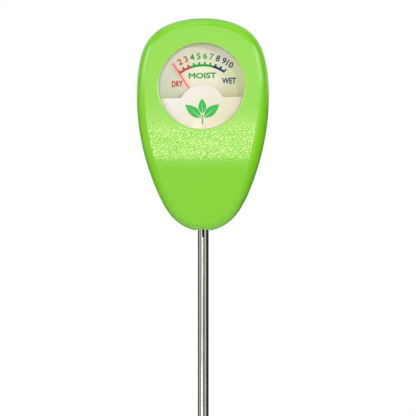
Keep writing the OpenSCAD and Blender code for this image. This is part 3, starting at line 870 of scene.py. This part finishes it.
def comb(start, end, ticks):
    """A stretch of the scale: the band between two angles, with its ticks standing on it."""
    outer = []
    half = math.degrees(TICK_W / 2 / BAND_R[1])
    tip = math.degrees(TICK_W / 2 / TICK_R)
    at = start
    for tick in ticks:
        outer += arc(SCALE_CENTRE, BAND_R[1], at, max(at, tick - half), 4)
        outer += arc(SCALE_CENTRE, TICK_R, tick - tip, tick + tip, 2)
        at = tick + half
    outer += arc(SCALE_CENTRE, BAND_R[1], min(at, end), end, 4)
    return outer + arc(SCALE_CENTRE, BAND_R[0], end, start, 16)


def lettering(text, height, width, at, turn, stroke):
    """Plain lettering of that height, centred at a point of the dial and turned clockwise."""
    curve = bpy.data.curves.new("lettering", "FONT")
    curve.body = text
    curve.extrude = 0.5  # any thickness, scaled to the ink's below
    curve.bevel_depth = stroke
    curve.resolution_u = 4
    mesh = solid_from_curve(curve, 0, 0)
    points = np.array([v.co for v in mesh.vertices])
    low, high = points.min(0), points.max(0)
    size = high - low
    mesh.transform(Matrix.Translation(-Vector((low + high) / 2)))
    tall = height * MM / size[2]
    wide = width * MM / size[0] if width else tall
    mesh.transform(Matrix.Diagonal((wide, INK_T * MM / size[1], tall, 1)))
    mesh.transform(Matrix.Rotation(math.radians(turn), 4, "Y"))
    y = PLATE_LOW.y - INK_T / 2
    mesh.transform(Matrix.Translation(Vector((at[0], y, at[1] + WINDOW_Z)) * MM))
    return mesh


def digit(number):
    """A number of the scale, over its tick."""
    angle = TICKS[number - 1]
    place = arc(SCALE_CENTRE, DIGIT_R, angle, angle, 1)[0]
    width = TEN_W if number == 10 else None
    return lettering(str(number), DIGIT_H, width, place, angle, STROKE)


def scale_part(name, start, end, numbers, word, color):
    """One colour of the printed scale, with its digits and its word."""
    ticks = [TICKS[n - 1] for n in numbers]
    band = flat_mesh(lifted([comb(start, end, ticks)]), PLATE_LOW.y - INK_T, PLATE_LOW.y)
    parts = [band] + [digit(n) for n in numbers] + [word]
    print_ink = ink(name + "_ink", color)
    piece = piece_from_mesh(name, dial_turned(joined(parts)), print_ink)
    piece.data.shade_flat()


RED, DARK_GREEN, NAVY = (0.52, 0.03, 0.04), (0.004, 0.35, 0.028), (0.003, 0.03, 0.145)
scale_part("scale_dry", SCALE_START, MOIST_START, (1, 2, 3),
           lettering("DRY", 2.87, 5.04, (-11.47, 1.98), -2, WORD_STROKE), RED)
scale_part("scale_moist", MOIST_START, MOIST_END, (4, 5, 6, 7),
           lettering("MOIST", 2.67, 12.65, (0.1, 5.49), 0, WORD_STROKE), DARK_GREEN)
scale_part("scale_wet", MOIST_END, SCALE_END, (8, 9, 10),
           lettering("WET", 2.77, 6.43, (12.16, 2.87), 1, WORD_STROKE), NAVY)

# ---------------------------------------------------------------- leaf emblem on the cover

LEAF_BELLY = 0.9  # below 1 the widest place is nearer the root
LEAF_STEPS = 18
RIB_GAP, RIB_END = 0.16, 0.8  # half the midrib's gap at the root, and how far along it closes
LEAF_LEAST = 0.02  # the narrowest that a half gets


def leaf(root, tip, width):
    """Two halves of a leaf from root to tip, parted by a tapering midrib gap."""
    root, tip = Vector(root), Vector(tip)
    along = tip - root
    side = Vector((-along.y, along.x)).normalized()
    halves = []
    for sign in (-1, 1):
        rim, rib = [], []
        for k in range(LEAF_STEPS + 1):
            t = k / LEAF_STEPS
            full = width / 2 * math.sin(math.pi * t ** LEAF_BELLY)
            gap = RIB_GAP * max(0.0, 1 - t / RIB_END)
            spot = root + along * t
            rim.append(spot + side * sign * max(full, gap + LEAF_LEAST))
            rib.append(spot + side * sign * gap)
        halves.append([tuple(p) for p in rim] + [tuple(p) for p in reversed(rib)])
    return halves


def sprig():
    """A plain upright sprig of three leaves on a short stem, from the window's centre."""
    loops = leaf((0, -12.4), (0, -5.2), 3.6)
    for sign in (-1, 1):
        loops += leaf((sign * 0.5, -14.1), (sign * 7.7, -8.0), 4.2)
    stem = [(-0.38, -16.9), (0.38, -16.9), (0.22, -12.7), (-0.22, -12.7)]
    return loops + [stem]


def emblem():
    """The sprig, printed on the cover."""
    front = COVER_FACE - INK_T
    meshes = [flat_mesh(lifted([loop]), front, front + INK_T) for loop in sprig()]
    return dial_turned(joined(meshes))


piece = piece_from_mesh("leaf_emblem", emblem(), leaf_ink(WINDOW_Z - 17, WINDOW_Z - 6))
piece.data.shade_flat()

# ---------------------------------------------------------------- probe

PROBE_R = SLEEVE_HIGH.x
BORE_R = 1.95
GROOVE_R, GROOVE_LOW, GROOVE_HIGH = 2.25, 0.65, 2.0
SLOT_W, SLOT_FOOT, SLOT_TOP = 0.8, -2.4, 5.6
NOSE_R, NOSE_TURN = 0.6, 1.31  # the tip's blunt end, and how far round its arc goes, in radians
CONE_FOOT, CONE_H = 0.45, 8  # where the cone starts and ends, from the tip's point
STEM_R = 0.97
HOLE_R = 1  # through the insulator, round the tip's stem
SPIGOT_R = BORE_R - 0.03


def sleeve():
    """The plated tube, with its retaining groove and locating slot."""
    top, bottom = SLEEVE_HIGH.z, SLEEVE_LOW.z
    outer = [(PROBE_R, bottom), (PROBE_R, GROOVE_LOW), (GROOVE_R, GROOVE_LOW),
             (GROOVE_R, GROOVE_HIGH), (PROBE_R, GROOVE_HIGH), (PROBE_R, top)]
    profile = rounded(outer + [(BORE_R, top), (BORE_R, bottom)],
                      [0.12, 0.05, 0, 0, 0.05, 0.1, 0.05, 0.05])
    tube = lathe(profile, 160, closed=True)
    half = SLOT_W / 2
    foot = [(half * math.cos(a), SLOT_FOOT - half * math.sin(a)) for a in np.linspace(0, math.pi, 17)]
    slot = flat_mesh([[(-half, SLOT_TOP), (half, SLOT_TOP)] + foot], -PROBE_R - 1, 0)
    return combined(tube, "DIFFERENCE", [slot])


piece = piece_from_mesh("probe_sleeve_plated", sleeve(), plated_tube(), smooth_angle=30)
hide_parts("probe_sleeve")


def tip():
    """The pointed electrode: a blunt nose, a cone and a stem that carries the wire."""
    low = TIP_LOW.z
    nose = [(NOSE_R * math.sin(a), low + NOSE_R - NOSE_R * math.cos(a))
            for a in np.linspace(0, NOSE_TURN, 8)]
    neck = INSULATOR_LOW.z
    body = rounded([(0.58, low + CONE_FOOT), (PROBE_R, low + CONE_H), (PROBE_R, neck), (STEM_R, neck),
                    (STEM_R, TIP_HIGH.z), (0, TIP_HIGH.z)], [0, 2.0, 0.12, 0, 0.1, 0], 8)
    return lathe([(0, low)] + nose[1:] + body[1:], 128)


piece = piece_from_mesh("probe_tip_turned", tip(), aluminium, smooth_angle=30)
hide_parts("probe_tip")


def insulator():
    """The black collar between the electrodes, with its spigot inside the sleeve."""
    low, high = INSULATOR_LOW.z, INSULATOR_HIGH.z
    shoulder = SLEEVE_LOW.z
    profile = rounded([(HOLE_R, low), (PROBE_R, low), (PROBE_R, shoulder), (SPIGOT_R, shoulder),
                       (SPIGOT_R, high), (HOLE_R, high)], [0, 0.12, 0.12, 0, 0.15, 0])
    return lathe(profile, 128, closed=True)


piece = piece_from_mesh("probe_insulator_collar", insulator(), black_plastic,
                        smooth_angle=30)
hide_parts("probe_insulator")

# ---------------------------------------------------------------- CAD nodes that stay

NODE_LOOKS = {
    "housing_screws": steel, "dial_plate": dial_face, "dial_screws": brass,
    "movement_frame": black_plastic, "frame_screws": steel, "yoke_ring": soft_iron,
    "core_magnet": magnet, "magnet_spacers": nylon, "front_bridge": brass, "bridge_screws": steel,
    "front_jewel_screw": brass, "front_lock_nut": brass, "front_jewel": ruby,
    "rear_jewel_screw": brass, "rear_jewel": ruby, "zero_adjuster": brass,
    "rear_spring_anchor": brass, "front_hairspring": bronze, "rear_hairspring": bronze,
    "coil_former": aluminium, "coil_winding": copper, "front_pivot": steel, "rear_pivot": steel,
    "pointer": pointer_paint, "balance_cross": steel, "balance_weights": steel,
    "stop_pins": steel, "front_lug": brass, "solder_joints": solder, "negative_lead": black_wire,
    "positive_lead": red_wire, "sleeve_clip": brass,
}
# width of the bevel along these nodes' sharp edges
EDGE_BREAK = {"pointer": 0.08, "housing_screws": 0.12, "dial_plate": 0.05, "front_bridge": 0.08,
              "movement_frame": 0.15, "front_lock_nut": 0.08, "coil_former": 0.04}

for name, material in NODE_LOOKS.items():
    node = nodes[name]
    node.data.materials.clear()
    node.data.materials.append(material)
    if name in EDGE_BREAK:
        weld = node.modifiers.new("weld", "WELD")
        weld.merge_threshold = 1e-6
        bevel = node.modifiers.new("edge_break", "BEVEL")
        bevel.width = EDGE_BREAK[name] * MM
        bevel.segments = 2
        bevel.limit_method = "ANGLE"
        bevel.angle_limit = math.radians(40)

# ---------------------------------------------------------------- studio

FLOOR_R, FLOOR_FADE = 0.42, 0.20  # metres; it is opaque up to the second
FLOOR_GAP = 0.0001


def floor():
    """A pale round floor under the tip that fades into the white background."""
    look = Look("pale_floor", (0.9, 0.9, 0.9), 0.6)
    flat = look.node("VectorMath", {0: look.coordinates}, operation="LENGTH").outputs["Value"]
    above = look.math("SUBTRACT", 1, look.node("NewGeometry").outputs["Backfacing"])
    look.set("Alpha", look.math("MULTIPLY", look.ranged(flat, 1, 0, FLOOR_FADE, FLOOR_R), above))
    work = bmesh.new()
    bmesh.ops.create_circle(work, cap_ends=True, segments=96, radius=FLOOR_R)
    mesh = bpy.data.meshes.new("floor")
    work.to_mesh(mesh)
    work.free()
    mesh.materials.append(look.material)
    made = linked("floor", mesh)
    made.location = (0, 0, TIP_LOW.z * MM - FLOOR_GAP)


# how bright the studio is round the object, by compass angle: 0 is in front, -90 at the left and
# 180 behind; each entry is (angle, brightness)
SURROUND = [
    (-180, 0.15), (-110, 0.0), (-95, 0.56), (-84, 0.78), (-72, 0.55), (-60, 0.27), (-50, 0.33),
    (-40, 0.80), (-30, 1.33), (-20, 1.50), (-10, 1.20), (0, 0.62), (8, 0.14), (16, 0.0),
    (25, 0.12), (33, 0.48), (42, 0.83), (52, 0.90), (62, 0.57), (72, 0.12), (82, 0.0),
    (92, 0.07), (125, 0.0), (180, 0.15),
]
# and by elevation, as a share of that
RISE = [
    (-90, 0.3), (-40, 0.6), (-25, 0.7), (-14, 1.0), (-1, 1.0), (3, 1.2), (10, 1.2), (25, 0.8),
    (90, 0.8),
]


def world():
    """White to the eye; to the object, a studio with bright stretches and dark ones."""
    made = bpy.data.worlds.new("studio")
    bpy.context.scene.world = made
    made.use_nodes = True
    tree = made.node_tree
    tree.nodes.clear()
    node = partial(add_node, tree)

    def ramp(value, stops, low, high):
        """Brightness by angle, from stops of (degrees, level)."""
        top = max(level for _, level in stops)
        ends = {"From Min": math.radians(low), "From Max": math.radians(high)}
        scaled = node("MapRange", {"Value": value, **ends})
        blend = node("ValToRGB", {"Fac": scaled.outputs[0]})
        elements = blend.color_ramp.elements
        while len(elements) < len(stops):
            elements.new(0.5)
        for element, (degrees, level) in zip(elements, stops):
            element.position = (degrees - low) / (high - low)
            element.color = (level / top, level / top, level / top, 1)
        return node("Math", {0: blend.outputs[0], 1: top}, operation="MULTIPLY").outputs[0]

    way = node("SeparateXYZ", {"Vector": node("TexCoord").outputs["Generated"]})
    back = node("Math", {0: way.outputs[1], 1: -1}, operation="MULTIPLY")
    bearing = node("Math", {0: way.outputs[0], 1: back.outputs[0]}, operation="ARCTAN2")
    height = node("Math", {0: way.outputs[2]}, operation="ARCSINE")
    level = node("Math", {0: ramp(bearing.outputs[0], SURROUND, -180, 180),
                          1: ramp(height.outputs[0], RISE, -90, 90)}, operation="MULTIPLY")
    studio = node("Background", {"Strength": level.outputs[0]})
    white = node("Background", {"Color": (1, 1, 1, 1), "Strength": 1.0})
    rays = node("LightPath")
    mix = node("MixShader", {0: rays.outputs["Is Camera Ray"], 1: studio.outputs[0],
                             2: white.outputs[0]})
    node("OutputWorld", {"Surface": mix.outputs[0]})


def aimed(thing, target, azimuth, elevation, distance):
    """Puts a light or camera at that bearing from its target, facing it; azimuth 0 is in front."""
    a, e = math.radians(azimuth), math.radians(elevation)
    back = Vector((math.sin(a) * math.cos(e), -math.cos(a) * math.cos(e), math.sin(e)))
    thing.location = (Vector(target) + back * distance) * MM
    thing.rotation_mode = "QUATERNION"
    thing.rotation_quaternion = back.to_track_quat("Z", "Y")


def area_light(name, azimuth, elevation, distance, size, power, target=(0, 0, 50), color=(1, 1, 1)):
    """A rectangular soft light."""
    data = bpy.data.lights.new(name, "AREA")
    data.shape = "RECTANGLE"
    data.size, data.size_y = size[0] * MM, size[1] * MM
    data.energy = power
    data.color = color
    aimed(linked(name, data), target, azimuth, elevation, distance)


def camera():
    """Level, three degrees to the right of straight on."""
    azimuth, distance, view_width = 3, 500.0, 192.2
    aim = (2.2, 0, 10.68)
    data = bpy.data.cameras.new("camera")
    data.sensor_width = 36
    data.lens = data.sensor_width * distance / view_width
    data.clip_start, data.clip_end = 0.01, 20
    made = linked("camera", data)
    aimed(made, aim, azimuth, 0, distance)
    bpy.context.scene.camera = made


floor()
world()
area_light("key", -3.2, 0, 800, (68, 54), 2.0, (0, -13, 69), (1.0, 0.68, 0.60))
area_light("side", 30, 10, 700, (60, 60), 1.2, (0, 0, 60))
area_light("low_left", -30, -26, 420, (60, 60), 0.05, (-15, -10, 28))
area_light("left_fill", -62, 22, 700, (400, 300), 1.1)
area_light("right_fill", 62, 22, 700, (400, 300), 1.15)
area_light("back_left", -140, 30, 900, (800, 800), 1.4)
area_light("back_right", 145, 30, 900, (800, 800), 1.4)
area_light("top", 180, 80, 900, (1000, 1000), 2.0)
camera()

settings = bpy.context.scene.view_settings
settings.view_transform = "Standard"
settings.look = "None"
